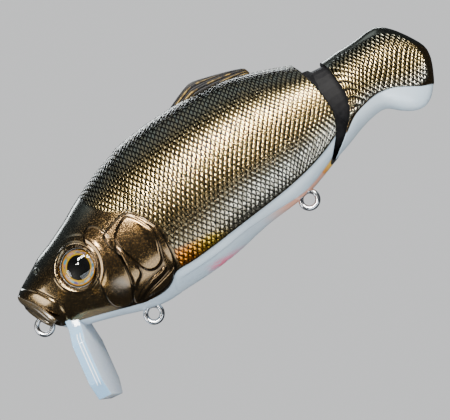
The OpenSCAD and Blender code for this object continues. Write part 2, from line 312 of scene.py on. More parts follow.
# %% Section tables
NOSE = [
    [-2.15, 8.3, 7.7, 0.02, 8.0, 0],
    [-2.1, 9.0, 6.7, 0.9, 8.0, 0],
    [-1.85, 9.8, 5.9, 1.8, 8.0, 0],
]
BODY = NOSE + [
    [-1.4, 10.3, 5.3, 2.6, 8.0, 0],
    [-0.6, 10.9, 4.1, 3.7, 7.7, 0],
    [0.5, 11.5, 2.3, 4.6, 7.2, 0],
    [2.4, 12.5, -0.7, 5.7, 6.6, 0],
    [5.1, 13.9, -3.5, 6.9, 6.2, 0],
    [8, 15.4, -4.9, 7.9, 6.2, 0],
    [12.5, 17, -6.2, 9.1, 6.4, 0],
    [18, 19.4, -7.9, 10.2, 6.8, 0],
    [23.3, 22.1, -9.7, 11, 7.4, 0],
    [29.7, 24.9, -11.1, 11.6, 8, 0],
    [36, 26.9, -11, 12, 8.4, 0],
    [43, 28, -10.9, 12, 8.6, 0],
    [51, 28.5, -10.2, 11.8, 8.8, 0],
    [61, 28.2, -8.4, 11, 9, 0],
    [70.4, 27, -7.6, 9.8, 9, 0],
    [77.5, 25, -6.8, 8.8, 8.9, 0.35],
    [82, 23.2, -5.9, 8, 8.8, 0.7],
    [86, 21, -4.4, 7.3, 8.7, 1],
]
TAIL = [
    [5.9, 18.5, -3.9, 6.2, 8.8, 1],
    [8, 18.6, -0.9, 6, 8.9, 0.55],
    [11, 18.7, 0.6, 5.5, 9.2, 0.2],
    [14, 18.8, 0.7, 4.9, 9.5, 0],
    [17, 19.1, -1.6, 4.5, 9.5, 0],
    [19.8, 19.5, -3.2, 4.1, 9.3, 0],
    [22.4, 19.2, -3.5, 3.6, 9, 0],
    [24.8, 17.3, -2.3, 3.1, 8.7, 0],
    [26.8, 14.8, 0, 2.6, 8.5, 0],
    [28.4, 12.3, 3, 1.9, 8.4, 0],
    [29.5, 10.2, 5.7, 1.2, 8.3, 0],
    [30, 8.6, 8, 0.02, 8.3, 0],
]
BACK_POWER, BELLY_POWER, TAIL_POWER = 2.0, 2.2, 2.1

tail_joint = next(j for j in frame["joints"] if j["name"] == "tail_swing")
PIVOT_X = tail_joint["pos_m"][0] / MM
REST_SWING = math.radians(16)


def bulge(z, back, middle, top, bottom):
    """How far back an edge is that stands out most at its middle height. Top and bottom each give the
    height over which the edge draws in, how far it draws in there, and with which power."""
    above = np.clip(z - middle, 0, None) / top[0]
    below = np.clip(middle - z, 0, None) / bottom[0]
    return back - top[1] * above ** top[2] - bottom[1] * below ** bottom[2]


def rim(z):
    """Rear rim of the front body, from its last section."""
    return bulge(z, 90.1, 6, (15.5, 4, 2.2), (10, 7.3, 1.9)) - BODY[-1][0]


def tail_edge(z):
    """Front edge of the tail, from its first section."""
    return bulge(z, 6.3, 9, (9.8, 0.6, 2), (12.9, 9.4, 2.2)) - TAIL[0][0]


def station(rows, where):
    """The section at any place between the table's rows, on a smooth curve through them."""
    table = np.array(rows, float)
    first = np.clip(np.floor(where).astype(int), 0, len(table) - 2)
    t = (where - first)[..., None]
    a, b = table[np.maximum(first - 1, 0)], table[first]
    c, d = table[first + 1], table[np.minimum(first + 2, len(table) - 1)]
    return 0.5 * (2 * b + (c - a) * t + (2 * a - 5 * b + 4 * c - d) * t**2 + (3 * b - a - 3 * c + d) * t**3)


def on_section(section, angle, upper_power, lower_power, edge):
    """Points round one side of a section; angle 0 is the back and pi the belly."""
    far_back, top, bottom, half_width, widest, follow = np.moveaxis(section, -1, 0)
    sine, cosine = np.sin(angle), np.cos(angle)
    power = np.where(cosine > 0, upper_power, lower_power)
    reach = np.where(cosine > 0, top - widest, widest - bottom)
    y = half_width * np.abs(sine) ** (2 / power)
    z = widest + reach * np.sign(cosine) * np.abs(cosine) ** (2 / power)
    return np.stack([far_back + follow * edge(z), y, z], -1)


print("sections:", len(BODY), "along the body and", len(TAIL), "along the tail")

# %% [markdown]
# ## Scales
# The skin is embossed with overlapping scales. They stand in staggered columns, and each shows only the part
# that the scale in front of it leaves free. One formula says which scale a point is on, and one how high it
# stands. NumPy uses them to press the relief into the mesh and the finish uses them to paint, so paint and
# relief can't drift apart. That is why the functions they need, such as the cosine, are handed to them.

# %% Scale lattice
ARC = 0.85


def scale_at(along, across, cos, floor):
    """Run from front to free edge, offset from the scale's middle, and the scale's column and row."""
    pair = along % 2
    even_edge = abs(cos(across * math.pi)) * ARC
    odd_edge = abs(cos((across - 0.5) * math.pi)) * ARC + 1
    on_even = pair < even_edge
    on_next = pair > odd_edge
    on_odd = 1 - on_even - on_next
    start = on_even * (odd_edge - 2) + on_odd * even_edge + on_next * odd_edge
    end = on_even * even_edge + on_odd * odd_edge + on_next * (even_edge + 2)
    run = (pair - start) / (end - start)
    column = floor(along / 2) * 2 + on_odd + on_next * 2
    middle = across - on_odd * 0.5
    row = floor(middle + 0.5)
    return run, middle - row, column, row


def scale_lift(run, offset, most):
    """Height of the embossing: a pillow that is highest a little behind its middle."""
    return most(1 - abs(run * 1.9 - 1.05) ** 2.2, 0) * (1 - offset * offset * 0.7)


print("a scale is widest", round(1 + ARC, 2), "columns long")

# %% [markdown]
# ## Lines of the moulding
# The head's plates, the mouth, and the line where foil ends and pearl begins are sculpted steps. Each is
# an outline or a line in side view, in millimetres, and a raised plate is only a step in its distance to
# the outline. Corners are cut twice, so that a few points give a smooth curve.

# %% Lines and plates
PLATES = [  # outline, height, width of the bevel
    ([(26.6, 9), (31, 10.4), (34.9, 11), (37, 9), (39, 5.6), (40.1, 2.6), (40, -1), (39.3, -4.6),
      (37.5, -7.2), (34.7, -8.9), (31.4, -9.7), (26, -9.3), (24, -8.2), (26.6, -5), (28, -1.5),
      (28.4, 3)], 0.35, 0.3),  # the gill cover's rim
    ([(28.9, 6.3), (30.5, 8.1), (32.4, 9.3), (34.5, 10.1), (35.7, 9.2), (37.3, 7), (38.9, 3.3), (38.5, 0.4),
      (37.4, -2), (36.7, -3.7), (33.9, -4.6), (31.6, -3.4), (30.7, 0.1)], 0.45, 0.5),  # the gill cover
    ([(28.7, 5.8), (29.7, 3.6), (30.4, 0.2), (31.1, -3.5), (28, -5), (26.6, -6), (27.4, -4.2), (28.2, -1),
      (28.6, 2.4)], 0.4, 0.5),  # the wedge ahead of it
    ([(36.2, -4.6), (33.9, -5.2), (31.6, -5.3), (29.6, -6.2), (27, -7.1), (25.2, -8.2), (28, -7.3),
      (31, -6.8), (34.5, -6.3), (36.4, -5.4)], 0.35, 0.4),  # the upper strip below it
    ([(38.4, -5.8), (36.4, -6.2), (33.4, -6.9), (29.2, -7.6), (26, -8.5), (29, -8.6), (32.2, -8.9),
      (35, -8.3), (37.4, -7)], 0.3, 0.4),  # the lower strip
    ([(27.2, 11.5), (28.2, 9.4), (28.6, 6.9), (28.1, 5.5), (28.3, 2.1), (27.7, -2.2), (26.9, -4.9),
      (25.4, -6.3), (23.9, -8.1), (19, -6.6), (20, -1), (21.6, 6), (22.5, 12),
      (25.4, 13.2)], 0.4, 0.32),  # the cheek
]
PEARL_LINE = [
    (-3, 2.4), (0, -0.2), (4, -2.7), (8.6, -3.9), (13.8, -5.4), (19.2, -7), (24, -8.6), (29.2, -9.7),
    (33, -9.6), (35.4, -8.7), (37.2, -7.4), (39, -7.1), (42.2, -7.3), (48.8, -6.9), (56.4, -6),
    (62.2, -5.4), (69.9, -4.6), (74.8, -3.8), (78.8, -2.9), (82.5, -1.8), (85.9, -0.5), (92, 2.2),
]
KEEL_LINE = [(37.5, -9.2), (48, -9), (58, -7.5), (65, -7.2), (72, -7.1), (76, -6.3), (80, -4.9), (85, -3)]
PANEL_LINE = [(37.1, -6.7), (35.9, -8.7), (34.3, -11)]
MOUTH_LINE = [(-3, 7.6), (-1.6, 6.9), (0, 5.6), (1.6, 3.7), (2.9, 1.4), (3.7, -0.6), (4.4, -2)]
MAXILLA_LINE = [(0.6, 10.6), (3.6, 8.4), (6.5, 4.5), (8.3, 1.6), (8.1, -1.6), (7, -3.4)]
SCALE_START = [(24, 30), (25, 22), (28, 16), (32, 12.6), (36, 10.6), (39, 7), (40.6, 3), (40.6, -1.5),
               (39.6, -5.4), (38.6, -9)]
TAIL_PEARL_LINE = [(2, -0.4), (5.2, 2), (8.3, 3.2), (12.4, 4.3), (15.5, 4.1), (17.7, 3.5), (19.7, 2.6),
                   (22.2, 1.4), (24.5, 0.4), (29, 0), (34, 0)]


def cut_corners(outline, closed=True, passes=2):
    """Chaikin's corner cutting."""
    points = np.array(outline, float)
    for _ in range(passes):
        after = np.roll(points, -1, 0) if closed else points[1:]
        before = points if closed else points[:-1]
        cut = np.stack([before * 0.75 + after * 0.25, before * 0.25 + after * 0.75], 1).reshape(-1, 2)
        points = cut if closed else np.concatenate([points[:1], cut, points[-1:]])
    return points


def line_distance(x, z, line, closed=False):
    """Distance in side view from a line, as an array."""
    after = np.roll(line, -1, 0) if closed else line[1:]
    nearest = np.full(x.shape, np.inf)
    for (ax, az), (bx, bz) in zip(line, after):
        length = (bx - ax) ** 2 + (bz - az) ** 2
        t = np.clip(((x - ax) * (bx - ax) + (z - az) * (bz - az)) / length, 0, 1)
        nearest = np.minimum(nearest, np.hypot(x - ax - t * (bx - ax), z - az - t * (bz - az)))
    return nearest


def depth_inside(x, z, outline):
    """Distance in from an outline's edge, negative outside it."""
    line = cut_corners(outline)
    inside = np.zeros(x.shape, bool)
    for (ax, az), (bx, bz) in zip(line, np.roll(line, -1, 0)):
        if az != bz:
            inside ^= ((az > z) != (bz > z)) & (x < (bx - ax) * (z - az) / (bz - az) + ax)
    return np.where(inside, 1, -1) * line_distance(x, z, line, closed=True)


def soft_step(value, low, high):
    t = np.clip((value - low) / (high - low), 0, 1)
    return t * t * (3 - 2 * t)


def groove(distance, width):
    """1 on a line, fading to either side."""
    return np.exp(-((distance / width) ** 2))


print("plates on each cheek:", len(PLATES))

# %% [markdown]
# ## From flat sheet to skin
# Extruding a ring section by section would give the same body, but embossed skin needs a dense, even net of
# points that the scales can be counted along. So each flank starts as a flat grid, like a sheet of foil, and
# is wrapped over the sections. Columns stand closer on the head, where the plates have their edges.

# %% Wrapping a sheet
SECTION_SAMPLES = 241
LENGTH_SAMPLES = 2400


def new_sheet(name, columns, rows):
    """A flat grid whose points are ordered row by row."""
    bpy.ops.object.select_all(action="DESELECT")
    bpy.ops.mesh.primitive_grid_add(x_subdivisions=columns, y_subdivisions=rows, size=2)
    sheet = bpy.context.object
    sheet.name = sheet.data.name = name
    return sheet


def read_points(piece):
    flat = np.zeros(len(piece.data.vertices) * 3, np.float32)
    piece.data.vertices.foreach_get("co", flat)
    return flat.reshape(-1, 3).astype(float)


def write_points(piece, points):
    piece.data.vertices.foreach_set("co", points.astype(np.float32).ravel())
    piece.data.update()


def paint_mask(piece, name, values):
    """Stores one number a point, for the finish to read."""
    mask = piece.data.attributes.new(name, "FLOAT", "POINT")
    mask.data.foreach_set("value", np.asarray(values, np.float32).ravel())


def lay_out(rows, columns, across, powers, edge, closeness):
    """Wraps a grid over the sections. Gives the points, and how far round and along each one is."""
    fine = np.linspace(0, len(rows) - 1, LENGTH_SAMPLES)
    flank = on_section(station(rows, fine), np.full(fine.shape, math.pi / 2), *powers, edge)
    steps = np.linalg.norm(np.diff(flank, axis=0), axis=1)
    run = np.concatenate([[0], np.cumsum(steps * closeness(flank[1:, 0]))])
    places = np.interp(np.linspace(0, run[-1], columns + 1), run, fine)
    angles = np.linspace(0, math.pi, SECTION_SAMPLES)
    sections = np.repeat(station(rows, places)[:, None, :], SECTION_SAMPLES, 1)
    dense = on_section(sections, np.broadcast_to(angles, sections.shape[:2]), *powers, edge)
    girth = np.cumsum(np.linalg.norm(np.diff(dense, axis=1), axis=2), axis=1)
    girth = np.concatenate([np.zeros((columns + 1, 1)), girth], 1)
    shares = np.linspace(0, 1, across + 1)
    chosen = np.stack([np.interp(shares, g / g[-1], angles) for g in girth], 1)
    points = on_section(np.repeat(station(rows, places)[None], across + 1, 0), chosen, *powers, edge)
    distance = np.interp(places, fine, np.concatenate([[0], np.cumsum(steps)]))
    return points, shares, girth[:, -1], distance, chosen


def outward_normals(points):
    """Unit normals of a wrapped grid that faces +Y."""
    along = np.gradient(points, axis=1)
    round_ = np.gradient(points, axis=0)
    normals = np.cross(round_, along)
    length = np.linalg.norm(normals, axis=2, keepdims=True)
    normals = normals / np.maximum(length, 1e-9)
    return normals * np.where(normals[..., 1:2].mean() < 0, -1, 1)


def count_scales(distance, girth, start_girth, pitch, rows_round, shares):
    """Lattice coordinates of each point; scales shrink with the girth, but not as fast."""
    size = pitch * np.sqrt(girth / start_girth)
    middle = (size[1:] + size[:-1]) / 2
    along = np.concatenate([[0], np.cumsum(np.diff(distance) / middle)])
    round_ = np.repeat(shares[:, None] * rows_round, len(along), 1)
    return np.broadcast_to(along, round_.shape), round_


def close_seams(piece, reach):
    """Merges the points where a wrapped sheet meets itself, and turns its faces outwards."""
    bpy.ops.object.mode_set(mode="EDIT")
    bpy.ops.mesh.select_all(action="SELECT")
    bpy.ops.mesh.remove_doubles(threshold=reach)
    bpy.ops.mesh.normals_make_consistent(inside=False)
    bpy.ops.object.mode_set(mode="OBJECT")


print("each section is measured at", SECTION_SAMPLES, "angles")

# %% [markdown]
# ## The front body's skin
# The real body is two moulded shells, glued on the middle plane. Each flank here is one of them. The relief
# is a sum of steps in millimetres, pushed out along the skin: plates, the ledge above the pearl belly, the
# mouth and nostril, and the scales.

# %% Body relief
iris_low, iris_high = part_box("left_eye_iris")
EYE = ((iris_low.x + iris_high.x) / 2 / MM, (iris_low.z + iris_high.z) / 2 / MM)
EYE_R = (iris_high.z - iris_low.z) / 2 / MM
NOSTRIL = (6.6, 11.5)
BODY_COLUMNS, BODY_ACROSS = 412, 226
BODY_SCALE_ROWS = 23
COLUMN_PITCH = 0.7
SCALE_HEIGHT = 0.15
SCALE_MAP = 400
PEARL_STEP, LEDGE_STEP, KEEL_STEP = 0.12, 0.2, 0.22
EYE_RINGS = [  # lift, distance out from the iris, width, and whether it is only behind the eye
    (-0.45, 0.15, 0.35, False), (0.3, 0.95, 0.4, False), (0.12, 2.6, 0.5, True),
]
CUTS = [(PANEL_LINE, 0.15, 0.2), (MOUTH_LINE, 1.1, 0.42), (MAXILLA_LINE, 0.25, 0.3)]  # line, depth, width


def side_of(x, z, line):
    """Height above a line that runs along the fish."""
    bent = cut_corners(line, closed=False)
    return z - np.interp(x, bent[:, 0], bent[:, 1])


def behind_of(x, z, line):
    """Distance behind a line that runs down the fish."""
    bent = cut_corners(line, closed=False)[::-1]
    return x - np.interp(z, bent[:, 1], bent[:, 0])


def body_relief(x, z):
    """Lift of the smooth features, and the masks that the paint needs."""
    lift = np.zeros(x.shape)
    # This mask carries painted shade: it darkens the feet of the plates, the mouth and the nostril.
    crease = np.zeros(x.shape)
    plate = np.zeros(x.shape)
    for outline, height, bevel in PLATES:
        depth = depth_inside(x, z, outline)
        lift += height * soft_step(depth, 0, bevel)
        crease = np.maximum(crease, groove(depth + 0.12, 0.2))
        plate = np.maximum(plate, soft_step(depth, 0, 0.4))
    eye_distance = np.hypot(x - EYE[0], z - EYE[1])
    lift *= soft_step(eye_distance, EYE_R + 0.8, EYE_R + 2.4)
    for height, out, width, only_behind in EYE_RINGS:
        lift += height * groove(eye_distance - (EYE_R + out), width) * ((x > EYE[0]) | (not only_behind))
    above_pearl = side_of(x, z, PEARL_LINE)
    ledge = soft_step(x, 36, 39)
    above_keel = side_of(x, z, KEEL_LINE)
    lift += (PEARL_STEP + LEDGE_STEP * ledge) * soft_step(above_pearl, -0.15, 0.2)
    lift += KEEL_STEP * soft_step(above_keel, -0.1, 0.3) * ledge
    for line, deep, width in CUTS:
        lift -= deep * groove(line_distance(x, z, cut_corners(line, closed=False)), width)
    nostril = np.hypot(x - NOSTRIL[0], z - NOSTRIL[1])
    lift += 0.16 * groove(nostril - 0.75, 0.3) - 0.45 * groove(nostril, 0.42)
    mouth = line_distance(x, z, cut_corners(MOUTH_LINE, closed=False))
    crease = np.maximum(crease, groove(mouth, 0.6))
    crease = np.maximum(crease, groove(nostril, 0.55))
    scaled = soft_step(behind_of(x, z, SCALE_START), -0.3, 0.5) * soft_step(above_pearl, 0.1, 0.5)
    scaled *= 1 - soft_step(plate, 0.1, 0.6)
    masks = {
        "crease": crease,
        "plate": plate,
        "pearl": 1 - soft_step(above_pearl, -0.1, 0.12),
        "scaled": scaled,
        "keel": 1 - soft_step(above_keel, -0.15, 0.1),
    }
    return lift, masks


print("the left iris is at", [round(x, 2) for x in EYE], "mm, radius", round(EYE_R, 2))

# %% [markdown]
# ## Making a flank
# A moulded shell has a wall, so at its open end the skin has to turn inwards, or a thin edge would show in
# the joint. Solidify would double all the points. A few more columns on the same sheet do the turn instead:
# they follow the end section inwards and are marked as lining, so that they are painted black: a painted
# shade inside the joint.

# %% Making a flank
def join_columns(skin_part, lining, at_back):
    return np.concatenate([skin_part, lining] if at_back else [lining, skin_part], 1)


def line_the_opening(rows, spots, angles, powers, edge):
    """Columns that carry the skin round its open end and inside. Each spot is a place in the table, an
    inset, a shift back, and how much of the width is left."""
    columns = []
    for where, inset, shift, left in spots:
        section = station(rows, np.full(angles.shape, float(where)))
        section = section - np.array([0, inset, -inset, inset, 0, 0])
        column = on_section(section, angles, *powers, edge)
        columns.append(column * (1, left, 1) + (shift, 0, 0))
    return np.stack(columns, 1)


def height_share(points, rows):
    """How high each point is on its section: 1 at the back, 0 at the widest place and -1 at the belly."""
    table = np.array(rows, float)
    section = station(rows, np.interp(points[..., 0], table[:, 0], np.arange(len(table))))
    top, bottom, widest = section[..., 1], section[..., 2], section[..., 4]
    above = points[..., 2] - widest
    return above / np.where(above > 0, top - widest, widest - bottom)


def store_scale_map(skin, along, round_):
    """The scale lattice as a UV map, for the finish to read."""
    scale_map = np.stack([along, round_], -1).reshape(-1, 2) / SCALE_MAP
    corners = np.zeros(len(skin.data.loops), np.int32)
    skin.data.loops.foreach_get("vertex_index", corners)
    skin.data.uv_layers.active.name = "scale_map"
    skin.data.uv_layers.active.uv.foreach_set("vector", scale_map[corners].astype(np.float32).ravel())


def make_skin(name, side, rows, columns, across, powers, edge, closeness, relief, lattice, spots, place=None):
    """One flank: wraps a sheet, embosses it, lines its open end and stores its masks and its scale map."""
    skin = new_sheet(name, columns + len(spots), across)
    points, shares, girth, distance, angles = lay_out(rows, columns, across, powers, edge, closeness)
    lift, masks = relief(points[..., 0], points[..., 2])
    masks["rise"] = height_share(points, rows)
    pitch, rows_round = lattice
    along, round_ = count_scales(distance, girth, girth.max(), pitch, rows_round, shares)
    run, offset, _, _ = scale_at(along, round_, np.cos, np.floor)
    edge_fade = np.minimum(soft_step(shares, 0, 0.02), soft_step(1 - shares, 0, 0.02))[:, None]
    embossing = SCALE_HEIGHT * masks["scaled"] * (scale_lift(run, offset, np.maximum) - 0.5)
    raised = points + outward_normals(points) * ((lift + embossing) * edge_fade)[..., None]

    at_back = spots[0][0] > 0
    lining = line_the_opening(rows, spots, angles[:, -1 if at_back else 0], powers, edge)
    raised = join_columns(raised, lining, at_back)
    raised[[0, -1], :, 1] = 0
    spare = np.zeros(lining.shape[:2])
    for mask, values in masks.items():
        paint_mask(skin, mask, join_columns(values, spare, at_back))
    paint_mask(skin, "lining", join_columns(np.zeros(points.shape[:2]), spare + 1, at_back))
    store_scale_map(skin, join_columns(along, spare, at_back), join_columns(round_, spare, at_back))
    raised = raised.reshape(-1, 3) * (1, side, 1)
    write_points(skin, (raised if place is None else place(raised)) * MM)
    middle = skin.data.polygons[len(skin.data.polygons) // 2]
    if middle.normal.y * side < 0:
        skin.data.flip_normals()
    print(name, len(skin.data.polygons) * 2, "triangles,", round(along.max(), 1), "columns of scales")
    return skin


def body_closeness(x):
    """How close the columns stand: closest on the plates, and widest at the snout."""
    return 1 + 0.8 * soft_step(41 - x, 0, 2) - 0.5 * soft_step(12 - x, 0, 2)


LAST = len(BODY) - 1
SOCKET_LINING = [  # round the rim, forward along the socket's wall, and across the bulkhead
    (LAST, 0.05, 0.06, 1), (LAST, 0.15, 0.12, 1), (LAST, 0.35, 0.15, 1), (LAST, 0.55, 0.14, 1),
    (LAST, 0.7, 0.08, 1), (LAST, 0.8, -0.05, 1), (LAST - 0.5, 0.95, 0, 1), (LAST - 1, 1, 0, 1),
    (LAST - 1.5, 1, 0, 1), (LAST - 1.5, 2.2, 0, 0.8), (LAST - 1.5, 2.5, 0, 0.4), (LAST - 1.5, 2.5, 0, 0),
]
body_skins = {}
for side, side_name in SIDES:
    body_skins[side] = make_skin(
        "body_skin_" + side_name, side, rows=BODY, columns=BODY_COLUMNS, across=BODY_ACROSS,
        powers=(BACK_POWER, BELLY_POWER), edge=rim, closeness=body_closeness, relief=body_relief,
        lattice=(COLUMN_PITCH, BODY_SCALE_ROWS), spots=SOCKET_LINING,
    )

# %% [markdown]
# ## The tail's skin
# The tail is wrapped in the same way, in its own straight position, and then swung about the hinge to where
# the CAD model stores it. A smooth band is left along its top and rear edge.

# %% Tail
TAIL_COLUMNS, TAIL_ACROSS = 330, 200
TAIL_SCALE_ROWS = 13


def swing_tail(points):
    """From the tail's straight position, behind the hinge, to its stored swing, in millimetres."""
    turn = np.array([
        [math.cos(REST_SWING), -math.sin(REST_SWING), 0],
        [math.sin(REST_SWING), math.cos(REST_SWING), 0],
        [0, 0, 1],
    ])
    return points @ turn.T + (PIVOT_X, 0, 0)


TAIL_SCALES = [(5.5, 16.6), (13.6, 17.2), (20.8, 17.6), (24, 16.2), (26.8, 12.8), (28.2, 8.7), (27.6, 4.6),
               (26, 1.4), (23, 1), (18, 3), (13, 4.6), (9, 3.6), (5, 2.4), (3, 1), (3, 10)]


def tail_relief(x, z):
    """Lift of the pearl's ledge, which fades towards the joint, and the masks."""
    above_pearl = side_of(x, z, TAIL_PEARL_LINE)
    behind_joint = soft_step(x, 7, 11)
    lift = 0.25 * soft_step(above_pearl, -0.15, 0.2) * behind_joint
    scaled = soft_step(depth_inside(x, z, TAIL_SCALES), -0.2, 0.5)
    masks = {
        "crease": np.zeros(x.shape),
        "plate": np.zeros(x.shape),
        "pearl": 1 - soft_step(above_pearl, -0.1, 0.12),
        "scaled": scaled,
    }
    return lift, masks


TAIL_FRONT = [  # from the middle plane out to the front edge
    (0, 2, 0.8, 0), (0, 2, 0.8, 0.5), (0, 1.2, 0.7, 1), (0, 0.9, 0.3, 1), (0, 0.6, 0.12, 1),
    (0, 0.35, 0.05, 1), (0, 0.15, 0.02, 1),
]
tail_skins = {}
for side, side_name in SIDES:
    tail_skins[side] = make_skin(
        "tail_skin_" + side_name, side, rows=TAIL, columns=TAIL_COLUMNS, across=TAIL_ACROSS,
        powers=(TAIL_POWER, TAIL_POWER), edge=tail_edge, closeness=np.ones_like, relief=tail_relief,
        lattice=(COLUMN_PITCH, TAIL_SCALE_ROWS), spots=TAIL_FRONT, place=swing_tail,
    )

# %% [markdown]
# ## Eye sockets
# Each printed iris sits in a round pocket. The skin's faces inside the pocket's circle are taken out, the
# ragged edge is drawn onto the circle, and it is extruded inwards to the iris, as a drill would leave it.

# %% Eye sockets
EYE_YAW = math.radians(7)
SOCKET_R = EYE_R + 0.15
SOCKET_REACH = 6
EDGE_REACH = 0.9
SOCKET_STEPS = ((0.15, 0.06), (1.6, 0.02))  # how deep, and how much narrower


def eye_frame(side, side_name):
    """The middle of the iris's front, and the direction in which the eye looks."""
    low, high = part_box(side_name + "_eye_iris")
    axis = Vector((-math.sin(EYE_YAW), side * math.cos(EYE_YAW), 0))
    return (low + high) / 2 + axis * 0.4 * MM, axis


def pick(piece, chosen):
    """Selects these points of a piece, and goes into edit mode."""
    bpy.ops.object.select_all(action="DESELECT")
    piece.select_set(True)
    bpy.context.view_layer.objects.active = piece
    bpy.ops.object.mode_set(mode="EDIT")
    bpy.ops.mesh.select_mode(type="VERT")
    bpy.ops.mesh.select_all(action="DESELECT")
    bpy.ops.object.mode_set(mode="OBJECT")
    piece.data.vertices.foreach_set("select", np.asarray(chosen, bool))
    bpy.ops.object.mode_set(mode="EDIT")


def about_axis(points, centre, axis):
    """Each point's depth along an axis, its offset across it, and its distance from it."""
    off = points - centre
    depth = off @ axis
    across = off - depth[:, None] * axis
    return depth, across, np.linalg.norm(across, axis=1)


def on_open_edge(piece):
    """Which points are on an open edge, that is on an edge with one face."""
    edges = np.zeros(len(piece.data.loops), np.int32)
    piece.data.loops.foreach_get("edge_index", edges)
    uses = np.bincount(edges, minlength=len(piece.data.edges))
    ends = np.array([edge.vertices[:] for edge in piece.data.edges])
    chosen = np.zeros(len(piece.data.vertices), bool)
    chosen[ends[uses == 1].ravel()] = True
    return chosen


def open_socket(skin, side, side_name):
    centre, axis = (np.array(value) for value in eye_frame(side, side_name))
    depth, _, radius = about_axis(read_points(skin), centre, axis)
    pick(skin, (radius < SOCKET_R * MM) & (np.abs(depth) < SOCKET_REACH * MM))
    bpy.ops.mesh.delete(type="VERT")
    bpy.ops.object.mode_set(mode="OBJECT")
    points = read_points(skin)
    depth, across, radius = about_axis(points, centre, axis)
    near = (radius < (SOCKET_R + EDGE_REACH) * MM) & (np.abs(depth) < SOCKET_REACH * MM)
    edge = on_open_edge(skin) & near
    points[edge] += across[edge] * (SOCKET_R * MM / radius[edge] - 1)[:, None]
    write_points(skin, points)
    pick(skin, edge)
    for deep, narrower in SOCKET_STEPS:
        before = len(points)
        bpy.ops.mesh.extrude_edges_move(TRANSFORM_OT_translate={"value": tuple(-axis * deep * MM)})
        bpy.ops.object.mode_set(mode="OBJECT")
        points = read_points(skin)
        _, across, radius = about_axis(points[before:], centre, axis)
        points[before:] -= across * (narrower * MM / radius)[:, None]
        write_points(skin, points)
        bpy.ops.object.mode_set(mode="EDIT")
    bpy.ops.object.mode_set(mode="OBJECT")
    print("socket", side_name, "edge points:", int(edge.sum()))


for side, side_name in SIDES:
    open_socket(body_skins[side], side, side_name)

# %% [markdown]
# ## Eyes
# A printed foil disc lies at the bottom of each socket under a clear cast dome. The disc is a filled circle
# that is inset twice, so that the pupil lies a little deeper. The dome is the cap of a sphere, cut off by a
# plane, drawn down to a short rim and closed.

# %% Eyes
DOME_R = 7.5
DOME_RIM = 0.6
DOME_LIFT = 0.15
DOME_GAP = 0.05
IRIS_BAND = 1.75


def face_out(piece, side, side_name):
    """Turns a piece made about +Z so that it looks along the eye's axis, and puts it on the iris."""
    centre, axis = eye_frame(side, side_name)
    turn = Vector((0, 0, 1)).rotation_difference(axis).to_matrix().to_4x4()
    piece.data.transform(Matrix.Translation(centre) @ turn)
    piece.data.update()


def make_iris(side, side_name):
    bpy.ops.mesh.primitive_circle_add(vertices=96, radius=EYE_R * MM, fill_type="NGON")
    iris = bpy.context.object
    iris.name = iris.data.name = "iris_" + side_name
    bpy.ops.object.mode_set(mode="EDIT")
    bpy.ops.mesh.select_all(action="SELECT")
    bpy.ops.mesh.inset(thickness=IRIS_BAND * MM, depth=-0.1 * MM)
    bpy.ops.mesh.inset(thickness=0.1 * MM, depth=-0.05 * MM)
    bpy.ops.object.mode_set(mode="OBJECT")
    ring = np.linalg.norm(read_points(iris)[:, :2], axis=1) / (EYE_R * MM)
    paint_mask(iris, "ring_share", ring)
    face_out(iris, side, side_name)
    return iris


def make_dome(side, side_name):
    drop = math.sqrt(DOME_R**2 - (EYE_R - DOME_GAP) ** 2)
    bpy.ops.mesh.primitive_uv_sphere_add(segments=96, ring_count=96, radius=DOME_R * MM)
    dome = bpy.context.object
    dome.name = dome.data.name = "dome_" + side_name
    bpy.ops.object.mode_set(mode="EDIT")
    bpy.ops.mesh.select_all(action="SELECT")
    bpy.ops.mesh.bisect(plane_co=(0, 0, drop * MM), plane_no=(0, 0, 1), clear_inner=True, use_fill=False)
    bpy.ops.mesh.extrude_edges_move(TRANSFORM_OT_translate={"value": (0, 0, -DOME_RIM * MM)})
    bpy.ops.mesh.edge_face_add()
    bpy.ops.mesh.select_all(action="SELECT")
    bpy.ops.mesh.normals_make_consistent(inside=False)
    bpy.ops.object.mode_set(mode="OBJECT")
    dome.data.transform(Matrix.Translation((0, 0, (DOME_RIM + DOME_LIFT - drop) * MM)))
    face_out(dome, side, side_name)
    return dome


irises, domes = {}, {}
for side, side_name in SIDES:
    irises[side] = make_iris(side, side_name)
    domes[side] = make_dome(side, side_name)
print("eyes look along", [round(x, 2) for x in eye_frame(-1, "left")[1]])

# %% [markdown]
# ## Lips of the mouth
# Two rounded beads run round the open mouth, a wide one above and a narrow one below. Each is a sheet that is
# wrapped round a smooth path and closed to a point at both corners of the mouth.

# %% Lips
UPPER_LIP = [
    (-1.6, 0, 9.1), (-1, 2.6, 8.1), (0.5, 4.3, 6), (2.2, 5.5, 3.2), (3.6, 6.2, 0.4), (4.8, 6.5, -1.8),
]
LOWER_LIP = [(-1.25, 0, 6), (-0.6, 2.3, 4.9), (0.7, 3.9, 2.6), (2.1, 4.8, 0.2), (3.3, 5, -1.8)]
BEAD_STEPS, BEAD_ROUND = 180, 28
BLUNTNESS = 8


def both_sides(half_path):
    """A path from the left corner round the nose to the right corner."""
    right_side = np.array(half_path, float)
    left_side = right_side[:0:-1] * (1, -1, 1)
    return np.concatenate([left_side, right_side])


